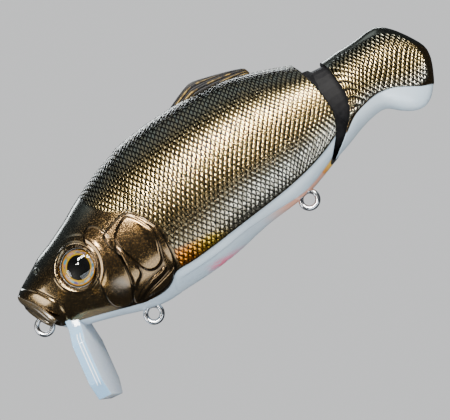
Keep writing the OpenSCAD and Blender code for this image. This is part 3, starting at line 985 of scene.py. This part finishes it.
def make_bead(name, path, half_height, half_thickness):
    """A closed bead along a path, with an oval section that stands upright along it."""
    places = np.linspace(0, len(path) - 1, BEAD_STEPS + 1)
    line = station(path, places)
    tangent = np.gradient(line, axis=0)
    tangent /= np.linalg.norm(tangent, axis=1, keepdims=True)
    outward = np.cross((0, 0, 1), tangent)
    outward /= np.linalg.norm(outward, axis=1, keepdims=True)
    upward = np.cross(tangent, outward)
    taper = np.sqrt(1 - np.abs(np.linspace(-1, 1, BEAD_STEPS + 1)) ** BLUNTNESS)[:, None]
    bead = new_sheet(name, BEAD_STEPS, BEAD_ROUND)
    turns = np.linspace(0, 2 * math.pi, BEAD_ROUND + 1)
    rounds = [
        line + taper * (upward * half_height * math.cos(turn) + outward * half_thickness * math.sin(turn))
        for turn in turns
    ]
    write_points(bead, np.stack(rounds).reshape(-1, 3) * MM)
    close_seams(bead, 0.01 * MM)
    return bead


upper_lip = make_bead("upper_lip", both_sides(UPPER_LIP), 1.15, 0.75)
lower_lip = make_bead("lower_lip", both_sides(LOWER_LIP), 0.7, 0.6)
print("lips:", len(upper_lip.data.polygons) + len(lower_lip.data.polygons), "faces")

# %% [markdown]
# ## The diving lip
# The bill is a flat moulding: an outline is filled, extruded to its thickness and its edges are rounded. It
# stands in its own plane first and is then leaned forward and let into the chin. Two fine pale rails run down
# each side as painted highlights: they stand for the bright lines that light draws along the bill's side.

# %% Diving lip
LIP_LEAN = math.radians(6)
LIP_THICKNESS = 3.5
RAIL_HALF = 0.13
_, lip_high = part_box("diving_lip")
LIP_HALF = lip_high.y / MM
LIP_ROOT = Vector((8, 0, -3.4)) * MM
LIP_OUTLINE = [
    (2.6, -4.6), (2.6, 4.6), (-1.8, 4.8), (-6, LIP_HALF), (-16.5, LIP_HALF), (-20.5, LIP_HALF - 2.5),
    (-20.5, 2.5 - LIP_HALF), (-16.5, -LIP_HALF), (-6, -LIP_HALF), (-1.8, -4.8),
]


def make_plate(name, outline, thickness, rounding):
    """Fills an outline in its own plane, extrudes it about that plane and rounds its edges."""
    bpy.ops.object.select_all(action="DESELECT")
    bpy.ops.mesh.primitive_circle_add(vertices=len(outline), radius=1, fill_type="NGON")
    plate = bpy.context.object
    plate.name = plate.data.name = name
    flat = np.array(outline, float)
    write_points(plate, np.concatenate([flat, np.full((len(flat), 1), -thickness / 2)], 1) * MM)
    bpy.ops.object.mode_set(mode="EDIT")
    bpy.ops.mesh.select_all(action="SELECT")
    bpy.ops.mesh.extrude_region_move(TRANSFORM_OT_translate={"value": (0, 0, thickness * MM)})
    bpy.ops.mesh.select_all(action="SELECT")
    bpy.ops.mesh.normals_make_consistent(inside=False)
    bpy.ops.object.mode_set(mode="OBJECT")
    bpy.ops.object.modifier_add(type="BEVEL")
    bevel = plate.modifiers[-1]
    bevel.width, bevel.segments, bevel.limit_method = rounding * MM, 4, "ANGLE"
    bpy.ops.object.modifier_apply(modifier=bevel.name)
    return plate


def lean_lip(piece):
    """From the bill's own plane to its place under the chin."""
    own_axes = Matrix(((0, 0, 1), (0, 1, 0), (1, 0, 0))).to_4x4()
    own_axes[0][2] = -1
    lean = Matrix.Rotation(LIP_LEAN, 4, "Y")
    piece.data.transform(Matrix.Translation(LIP_ROOT) @ lean @ own_axes)
    piece.data.update()


bill = make_plate("bill", LIP_OUTLINE, LIP_THICKNESS, 0.22)
lean_lip(bill)
# The rails are painted highlights: pale beads for the bright lines along the bill's side.
highlight_rails = []
for side, _ in SIDES:
    for deep, name in ((-0.15, "inner"), (-0.95, "outer")):
        edge = side * (LIP_HALF - 0.1)
        run = [(-3.4, side * 5.6, deep), (-6.4, edge, deep), (-17.6, edge, deep)]
        rail = make_bead(f"bill_highlight_rail_{name}_{side}", run, RAIL_HALF, RAIL_HALF)
        lean_lip(rail)
        highlight_rails.append(rail)
print("bill thickness", LIP_THICKNESS, "mm, width", round(2 * LIP_HALF, 1), "mm")

# %% [markdown]
# ## The dorsal fin
# The fin is a blade let into the back, thick at its root and thin along its free edge. One sheet goes up its
# left side, over the edge and down the right, with soft ribs that sweep back along it.

# %% Dorsal fin
FIN_TOP = [
    (51.4, 27.6), (52.2, 28.4), (54.6, 29), (58, 30.5), (61.2, 31.7), (62.8, 31.95), (64.8, 31.6),
    (71.8, 29.4), (75.8, 27.9), (76.5, 27.2), (76.85, 25.8),
]
FIN_FOOT = 24.6
FIN_HALF = 0.95
RIB_HEIGHT = 0.13
FIN_COLUMNS, FIN_ACROSS = 220, 120


def make_fin():
    fin = new_sheet("fin_blade", FIN_COLUMNS, FIN_ACROSS)
    top = cut_corners(FIN_TOP, closed=False)
    x = np.linspace(FIN_TOP[0][0], FIN_TOP[-1][0], FIN_COLUMNS + 1)
    height = np.interp(x, top[:, 0], top[:, 1]) - FIN_FOOT
    turn = np.linspace(-1, 1, FIN_ACROSS + 1)[:, None]
    share = 1 - np.abs(turn) ** 1.6
    ends = np.sqrt(np.clip(np.minimum(x - x[0], x[-1] - x) / 0.8, 0, 1))
    ribs = np.cos(2 * math.pi * (share * 5.5 - (x - x[0]) / 16)) * RIB_HEIGHT * soft_step(share, 0.1, 0.3)
    ribs = ribs * (1 - soft_step(share, 0.86, 0.95))
    thick = (FIN_HALF * (1 - 0.55 * share) + ribs) * ends
    rounded = np.sqrt(np.clip((1 - share) / 0.06, 0, 1))
    y = np.sign(turn) * thick * rounded
    z = FIN_FOOT + height * share
    points = np.stack([np.broadcast_to(x, z.shape), y, z], -1)
    write_points(fin, points.reshape(-1, 3) * MM)
    paint_mask(fin, "share", np.broadcast_to(share, z.shape))
    paint_mask(fin, "rib", 0.5 + ribs / (2 * RIB_HEIGHT))
    close_seams(fin, 0.002 * MM)
    return fin


fin_blade = make_fin()
print("fin stands", round((cad_high.z - FIN_FOOT * MM) / MM, 1), "mm over its foot")

# %% [markdown]
# ## Wire eyes
# The line tie and the two hook hangers are stainless wire bent into an eye. A torus is the eye and a short
# cylinder its shank; the shank's far end is buried in the shells.

# %% Wire eyes
def make_wire_eye(name, node, outer, centre, toward, length):
    """An eye across the fish, with a shank that runs from it along the given direction."""
    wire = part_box(node)[1].y
    bpy.ops.object.select_all(action="DESELECT")
    bpy.ops.mesh.primitive_torus_add(
        location=(0, 0, 0), rotation=(math.pi / 2, 0, 0),
        major_radius=outer - wire, minor_radius=wire, major_segments=96, minor_segments=32,
    )
    eye = bpy.context.object
    bpy.ops.object.transform_apply(location=True, rotation=True, scale=True)
    bpy.ops.mesh.primitive_cylinder_add(
        vertices=48, radius=wire * 0.97, depth=length, location=(0, 0, outer - wire + length / 2),
    )
    eye.select_set(True)
    bpy.context.view_layer.objects.active = eye
    bpy.ops.object.join()
    bpy.ops.object.transform_apply(location=True, rotation=True, scale=True)
    eye.name = eye.data.name = name
    turn = Vector((0, 0, 1)).rotation_difference(toward).to_matrix().to_4x4()
    eye.data.transform(Matrix.Translation(centre) @ turn)
    return eye


TIE_RISE = math.radians(32)
TIE_SHANK, HANGER_SHANK = 7 * MM, 6 * MM
tie_low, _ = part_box("line_tie_wire")
toward_chin = Vector((math.cos(TIE_RISE), 0, math.sin(TIE_RISE)))
wire_eyes = {
    "line_tie_wire": make_wire_eye(
        "line_tie_eye", "line_tie_wire", -tie_low.x, Vector((0, 0, 0)), toward_chin, TIE_SHANK
    )
}
for place in ("front", "rear"):
    node = place + "_hanger_wire"
    low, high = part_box(node)
    outer = (high.x - low.x) / 2
    ring_centre = Vector(((low.x + high.x) / 2, 0, low.z + outer))
    wire_eyes[node] = make_wire_eye(
        place + "_hanger_eye", node, outer, ring_centre, Vector((0, 0, 1)), HANGER_SHANK
    )
print("wire eyes:", [eye.name for eye in wire_eyes.values()])

# %% [markdown]
# ## Dressing a piece
# Every piece needs the same five things: a finish, smooth shading, a body to ride on, a material slot, and
# the CAD nodes that it stands for. One helper does them all, so that none is forgotten.

# %% Dressing a piece
def dress(piece, finish, body, replaced=(), sharp=None):
    """Finishes a piece. Edges that turn by more than the angle in sharp, in degrees, stay crisp."""
    piece.data.materials.clear()
    piece.data.materials.append(finish)
    if sharp is None:
        piece.data.shade_smooth()
    else:
        bpy.ops.object.select_all(action="DESELECT")
        piece.select_set(True)
        bpy.context.view_layer.objects.active = piece
        bpy.ops.object.shade_smooth_by_angle(angle=math.radians(sharp))
    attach(piece, body)
    if replaced:
        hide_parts(*replaced)
    print(piece.name, "rides on", body)


# %% [markdown]
# ## The skin's colours
# On the real lure a metal foil is laid over the moulding, smoked dark along the back, tinted gold on the
# flank and silver lower down, and cleared with lacquer. The belly is pearl paint. Foil takes much of its
# colour from what it mirrors, so a few plain tints are enough.

# %% Skin colours
BACK_SMOKE = rgb(0.105, 0.115, 0.095)
OLIVE = rgb(0.14, 0.115, 0.06)
GOLD = rgb(0.74, 0.55, 0.23)
SILVER = rgb(0.74, 0.70, 0.58)
BRONZE = rgb(0.36, 0.26, 0.12)
COPPER = rgb(0.52, 0.27, 0.06)
NET = rgb(0.008, 0.007, 0.004)
CHEEK = rgb(0.15, 0.105, 0.052)
GOLD_DUST = rgb(0.75, 0.45, 0.16)
GILL_BROWN = rgb(0.26, 0.14, 0.06)
GILL_GOLD = rgb(0.72, 0.40, 0.11)
CHIN_GREY = rgb(0.20, 0.19, 0.17)
# Painted shade, laid into the creases of the plates, the mouth and the nostril.
CREASE_SHADE_BLACK = rgb(0.01, 0.009, 0.007)
PEARL = rgb(0.47, 0.59, 0.70)
PALE_PEARL = rgb(0.68, 0.76, 0.82)
ORANGE = rgb(0.80, 0.26, 0.02)
AMBER = rgb(0.85, 0.55, 0.06)
ROSE = rgb(0.85, 0.16, 0.30)
PEACH = rgb(0.85, 0.36, 0.20)
# Painted shade: the lining inside the open ends is black.
LINING_SHADE_BLACK = rgb(0.012, 0.012, 0.013)


def read_skin(finish):
    """What the skin's mesh holds for its paint. Places are in millimetres."""
    place = finish.place()
    back, _, height = finish.axes(place)
    along, across, _ = finish.axes(finish.node("ShaderNodeUVMap", {"uv_map": "scale_map"}))
    run, offset, column, row = scale_at(along * SCALE_MAP, across * SCALE_MAP, Paint.cos, Paint.floor)
    cell = finish.node("ShaderNodeCombineXYZ", inputs={0: column, 1: row})
    return SimpleNamespace(
        place=place, back=back / MM, height=height / MM, run=run, offset=offset,
        chance=finish.node("ShaderNodeTexWhiteNoise", {"noise_dimensions": "3D"}, {"Vector": cell}),
        speckle=finish.grain(place, 3800, 3, 0.7), rise=finish.attribute("rise") * 0.5 + 0.5,
        **{mask: finish.attribute(mask) for mask in ("scaled", "plate", "pearl", "crease", "lining")},
    )


print("foil from the back down:", BACK_SMOKE[:3], OLIVE[:3], GOLD[:3], SILVER[:3])

# %% [markdown]
# ## Painting the scales
# A colour ramp up the flank gives the zones, and chance, one random number a scale, keeps neighbours from
# looking printed. Each scale has a copper fringe at its free edge, and the dark net between the scales is
# where a point is close to the scale's ends or sides. An orange patch warms the scales behind the gills.

# %% Painting the scales
def paint_scales(finish, skin, on_body):
    zones = finish.ramp(skin.rise, [
        (0.08, SILVER), (0.24, SILVER), (0.38, GOLD), (0.66, GOLD), (0.77, OLIVE),
        (0.87, BACK_SMOKE), (1, BACK_SMOKE),
    ])
    front_low = (1 - skin.back.step(44, 70)) * (1 - skin.rise.step(0.3, 0.44))
    zones = finish.mix(front_low * 0.8, zones, BRONZE)
    on_flank = (1 - skin.rise.step(0.72, 0.84)) * skin.rise.step(0.2, 0.4)
    fringe = (skin.run - skin.offset * 0.6).step(0.55, 0.95) * on_flank
    colour = finish.mix(fringe * 0.5, zones, COPPER)
    colour = finish.mix(skin.chance * 0.5, colour, OLIVE)
    if on_body:
        patch_along = skin.back.step(37.5, 40) * (1 - skin.back.step(49, 56))
        patch_low = 1 - (skin.height + (skin.back - 40) * 0.12).step(-4.2, -2.4)
        warm = finish.mix(skin.back.step(42, 50), ORANGE, AMBER)
        colour = finish.mix(patch_along * patch_low * 0.95, colour, warm)
    low = 1 - skin.rise.step(0.2, 0.42)
    inside = (skin.run.least(1 - skin.run) * 2 + low * 0.22).step(0.16, 0.8)
    inside = inside * (0.5 - abs(skin.offset) + low * 0.05).step(0.03, 0.26)
    return finish.mix(inside, NET, colour)


print("scales:", BODY_SCALE_ROWS, "rows on the body and", TAIL_SCALE_ROWS, "on the tail")

# %% [markdown]
# ## Painting the head and the belly
# The head has no scales: it is brown foil with gold dust in its lacquer. A gold blot on the gill cover is a
# painted highlight, and the gold patches below the eye are gold dust with a painted reflection in them. The
# belly is pearl with a rosy keel, a peach rear and an orange tip. Soft round patches and steps along the fish
# place them; a brush or an airbrush placed the paint in the same way on the real one.

# %% Painting the head and the belly
# Gold dust below the eye, with a painted reflection laid into the same patches.
GOLD_DUST_AND_REFLECTION_PATCHES = [  # middle, size and strength
    ((21.5, -0.6), 1.7, 0.8), ((18, -1), 1.3, 0.7), ((10, 3), 1.5, 0.7),
]


def blot(skin, middle, size):
    """A soft round patch in side view."""
    off_back = skin.back - middle[0]
    off_height = skin.height - middle[1]
    spread = (off_back * off_back + off_height * off_height) ** 0.5
    return 1 - spread.step(size * 0.35, size)


def paint_head(finish, skin, on_body):
    colour = finish.mix(skin.speckle.step(0.52, 0.74) * 0.85, CHEEK, GOLD_DUST)
    colour = finish.mix(skin.rise.step(0.62, 0.85), colour, BACK_SMOKE)
    colour = finish.mix(skin.plate * 0.25, colour, GILL_BROWN)
    if on_body:
        # Painted highlight: the blot on the gill cover stands for a reflection, and the patches add gold dust
        # with painted reflection.
        gold_dust_and_highlight = blot(skin, (36.6, 6.5), 2.6) * skin.plate * 0.6
        for middle, size, strength in GOLD_DUST_AND_REFLECTION_PATCHES:
            gold_dust_and_highlight = gold_dust_and_highlight.most(blot(skin, middle, size) * strength)
        colour = finish.mix(gold_dust_and_highlight * skin.speckle.step(0.42, 0.6), colour, GILL_GOLD)
        # The lower cheek is mixed halfway towards grey.
        colour = finish.mix(blot(skin, (24, -3.4), 3.2) * 0.5, colour, CHIN_GREY)
    return colour


def paint_belly(finish, skin, on_body):
    cloud = finish.grain(skin.place, 90, 3)
    colour = finish.mix(cloud.step(0.35, 0.7) * 0.35, PEARL, PALE_PEARL)
    if on_body:
        keel = finish.attribute("keel")
        low_edge = 1 - skin.height.step(-10.8, -9.4)
        rosy = keel * low_edge * skin.back.step(42, 47) * (1 - skin.back.step(56, 61))
        colour = finish.mix(rosy * finish.grain(skin.place, 500, 2).step(0.3, 0.5), colour, ROSE)
        colour = finish.mix(skin.back.step(60, 70) * keel * 0.85, colour, PEACH)
        tip = finish.mix(skin.height.step(-5.4, -4), ORANGE, AMBER)
        colour = finish.mix(skin.back.step(79.4, 79.9) * keel, colour, tip)
    return colour


print("gold patches on the head:", len(GOLD_DUST_AND_REFLECTION_PATCHES) + 1)

# %% [markdown]
# ## The skin's finish
# The masks that were stored with the relief put the three paints together. Foil is metal and pearl is not.
# Each scale is a little duller or shinier than the next, and a bump adds the finest relief to what the mesh
# already has.

# %% Skin finish
def make_skin_finish(name, on_body):
    finish = Finish(name)
    skin = read_skin(finish)
    foil = finish.mix(skin.scaled, paint_head(finish, skin, on_body), paint_scales(finish, skin, on_body))
    # Painted shade: the creases are darkened towards black.
    foil = finish.mix(skin.crease * 0.8, foil, CREASE_SHADE_BLACK)
    colour = finish.mix(skin.pearl, foil, paint_belly(finish, skin, on_body))
    # Painted shade: the lining inside the joint is painted black.
    inside = skin.lining.step(0.5, 0.9)

    smooth = 1 - skin.scaled
    dusty = smooth * skin.speckle.step(0.48, 0.62) * 0.1
    satin_back = smooth * skin.rise.step(0.62, 0.8) * 0.06
    rough = skin.chance * skin.scaled * 0.12 + skin.speckle * 0.1 + skin.pearl * 0.14 + 0.1
    relief = scale_lift(skin.run, skin.offset, Paint.most) * skin.scaled * (1 - skin.pearl)
    fine = finish.bump(skin.speckle * smooth, 0.02 * MM, 0.35)
    return finish.done({
        "Base Color": finish.mix(inside, colour, LINING_SHADE_BLACK),
        "Metallic": (1 - skin.pearl * 0.85) * (1 - inside),
        "Roughness": rough + dusty + satin_back,
        "Normal": finish.bump(relief, 0.12 * MM, 0.8, under=fine),
        "Coat Weight": 0.35 - skin.scaled * 0.25,
        "Coat Roughness": 0.1,
    })


body_finish = make_skin_finish("foil_body", True)
tail_finish = make_skin_finish("foil_tail", False)
for side, side_name in SIDES:
    dress(body_skins[side], body_finish, "front_body", ["body_shell_" + side_name])
    dress(tail_skins[side], tail_finish, "tail", ["tail_shell_" + side_name])

# %% [markdown]
# ## The eye's finishes
# The iris is black print over holographic foil, whose facets each show another colour. A Voronoi pattern
# makes the facets, and rings are steps in the distance from the pupil. The dome is clear, so it shows only
# its own reflection: a mirror that is nearly transparent, except at a grazing angle.

# %% Eye finishes
def ink_in_painted_shade(red, green, blue):
    """A print colour, darkened with painted shade for its place under the dome."""
    return rgb(red * 0.28, green * 0.28, blue * 0.28)


IRIS_RINGS = [  # where a ring starts and is full, in shares of the iris's radius, and its ink
    ((0.82, 0.85), ink_in_painted_shade(0.75, 0.33, 0.01)), ((0.89, 0.91), ink_in_painted_shade(0.02, 0.015, 0.01)),
    ((0.955, 0.965), ink_in_painted_shade(0.45, 0.44, 0.40)),
]
PUPIL_EDGE = (0.625, 0.645)


def make_iris_finish():
    finish = Finish("printed_iris")
    ring = finish.attribute("ring_share")
    place = finish.place()
    facet = finish.node("ShaderNodeTexVoronoi", inputs={"Vector": place, "Scale": 1100.0}, output="Color")
    tint, _, _ = finish.axes(facet)
    foil = finish.ramp(tint, [
        (0.0, ink_in_painted_shade(0.02, 0.30, 0.50)), (0.25, ink_in_painted_shade(0.20, 0.60, 0.75)), (0.42, ink_in_painted_shade(0.75, 0.12, 0.05)),
        (0.55, ink_in_painted_shade(0.75, 0.78, 0.70)), (0.72, ink_in_painted_shade(0.05, 0.08, 0.50)), (0.88, ink_in_painted_shade(0.65, 0.45, 0.05)),
    ])
    foil = finish.mix(1 - ring.step(0.70, 0.74), foil, ink_in_painted_shade(0.85, 0.50, 0.01))
    for edge, colour in IRIS_RINGS:
        foil = finish.mix(ring.step(*edge), foil, colour)
    outside_pupil = ring.step(*PUPIL_EDGE)
    return finish.done({
        "Base Color": finish.mix(1 - outside_pupil, foil, ink_in_painted_shade(0.002, 0.002, 0.002)),
        "Metallic": outside_pupil * (1 - ring.step(0.93, 0.95)) * 0.055,
        "Roughness": finish.grain(place, 900, 1, 0.4) * 0.2 + 0.3,
        "Specular IOR Level": 0.05,
    })


def make_dome_finish():
    finish = Finish("clear_dome")
    mirror = finish.node("ShaderNodeFresnel", inputs={"IOR": 1.5})
    outside = 1 - finish.node("ShaderNodeNewGeometry", output="Backfacing")
    return finish.done({
        "Base Color": rgb(1, 1, 1), "Metallic": 1.0, "Roughness": 0.03, "Alpha": mirror * outside,
    })


iris_finish = make_iris_finish()
dome_finish = make_dome_finish()
for side, side_name in SIDES:
    dress(irises[side], iris_finish, "front_body", [side_name + "_eye_iris"], sharp=30)
    dress(domes[side], dome_finish, "front_body", [side_name + "_eye_lens"], sharp=40)

# %% [markdown]
# ## The bill's finish
# The bill is ice-blue plastic. Its colour is painted paler across its broad faces, where light has less of it
# to
# cross, and deeper along its sides: painted light. The sides are told apart by their normals. A painted shade
# deepens it towards the chin. A little light scatters inside it.

# %% Bill finish
def make_bill_finish():
    finish = Finish("ice_blue_plastic")
    place = finish.place()
    _, _, height = finish.axes(place)
    _, sideways, _ = finish.axes(finish.node("ShaderNodeTexCoord", output="Normal"))
    dust = finish.grain(place, 1500, 2)
    face = finish.mix(dust.step(0.3, 0.8), rgb(0.62, 0.72, 0.85), rgb(0.72, 0.81, 0.92))
    # Painted light: deeper blue on the sides, where light crosses more plastic.
    colour = finish.mix(abs(sideways).step(0.35, 0.6), face, rgb(0.24, 0.42, 0.62))
    # Painted shade: deeper blue towards the chin, where the bill is let in.
    colour = finish.mix((height / MM).step(-7.5, -4.5) * 0.5, colour, rgb(0.30, 0.42, 0.55))
    return finish.done({
        "Base Color": colour, "Roughness": 0.1 + dust * 0.08, "Coat Weight": 0.6,
        "Subsurface Weight": 0.25, "Subsurface Radius": (0.002, 0.003, 0.004), "Subsurface Scale": 0.5,
    })


dress(bill, make_bill_finish(), "front_body", ["diving_lip"], sharp=30)

# %% [markdown]
# ## The fin's and the lips' finishes
# The fin is smoked plastic, with gold streaks on its ribs and a painted highlight along its free edge. The
# lips are smoked too, and have the head's gold dust under their gloss.

# %% Fin and lip finishes
def make_fin_finish():
    finish = Finish("smoked_fin")
    share = finish.attribute("share")
    streak = finish.grain(finish.place(), 260, 3, 0.6)
    gold = finish.attribute("rib").step(0.45, 1) * streak.step(0.35, 0.6) * (1 - share.step(0.85, 0.95))
    colour = finish.mix(gold, rgb(0.006, 0.006, 0.007), rgb(0.30, 0.20, 0.06))
    # Painted highlight: a paler band along the fin's free edge.
    colour = finish.mix(share.step(0.95, 0.99) * 0.35, colour, rgb(0.35, 0.36, 0.36))
    return finish.done({
        "Base Color": colour, "Metallic": gold * 0.7, "Roughness": streak * 0.15 + 0.3,
        "Specular IOR Level": 0.25,
    })


def make_lip_finish():
    finish = Finish("smoked_lips")
    speckle = finish.grain(finish.place(), 2600, 3, 0.7)
    colour = finish.mix(speckle.step(0.5, 0.75), rgb(0.045, 0.036, 0.022), rgb(0.22, 0.14, 0.055))
    return finish.done({
        "Base Color": colour, "Metallic": speckle.step(0.4, 0.6) * 0.7, "Roughness": 0.2 + speckle * 0.12,
        "Coat Weight": 0.7, "Coat Roughness": 0.08,
    })


lip_finish = make_lip_finish()
dress(upper_lip, lip_finish, "front_body")
dress(lower_lip, lip_finish, "front_body")
dress(fin_blade, make_fin_finish(), "front_body", ["dorsal_fin"])

# %% [markdown]
# ## Steel, black moulding and ballast
# The wire eyes, the rails, the neck, the pin and the ballast each have one even finish, so one function with
# a fine grain in its colour and gloss does for them all. The CAD nodes whose shape is already right keep it,
# and only get these finishes on their slots.

# %% Even finishes
def make_even_finish(name, dark, light, metal, rough, grain_scale, gloss=0.5):
    finish = Finish(name)
    grain = finish.grain(finish.place(), grain_scale, 3, 0.6)
    return finish.done({
        "Base Color": finish.mix(grain.step(0.3, 0.7), dark, light),
        "Metallic": metal, "Roughness": grain * 0.15 + rough, "Specular IOR Level": gloss,
        "Normal": finish.bump(grain, 0.02 * MM, 0.15),
    })


steel = make_even_finish("drawn_steel", rgb(0.62, 0.64, 0.67), rgb(0.80, 0.82, 0.85), 1.0, 0.12, 700)
black_neck = make_even_finish(
    "black_moulding", rgb(0.006, 0.006, 0.007), rgb(0.010, 0.010, 0.011), 0.0, 0.5, 900, gloss=0.12
)
lead = make_even_finish("cast_ballast", rgb(0.16, 0.16, 0.17), rgb(0.26, 0.26, 0.27), 0.9, 0.45, 400)
# Painted highlight: the rails' pale, near-white finish.
highlight_rail_finish = make_even_finish("bill_highlight_rail", rgb(0.80, 0.88, 0.97), rgb(0.92, 0.96, 1.0), 0.0, 0.2, 600)

for rail in highlight_rails:
    dress(rail, highlight_rail_finish, "front_body")
for node, eye in wire_eyes.items():
    dress(eye, steel, "front_body", [node])

KEPT = {
    "tail_neck": black_neck, "hinge_pin_cap": black_neck, "hinge_pin": steel, "hinge_eye_upper": steel,
    "hinge_eye_lower": steel, "keel_weight_front": lead, "keel_weight_rear": lead,
}
for node, finish in KEPT.items():
    for holder in frame["nodes"][node].material_slots:
        holder.material = finish
print("CAD nodes kept:", sorted(KEPT))
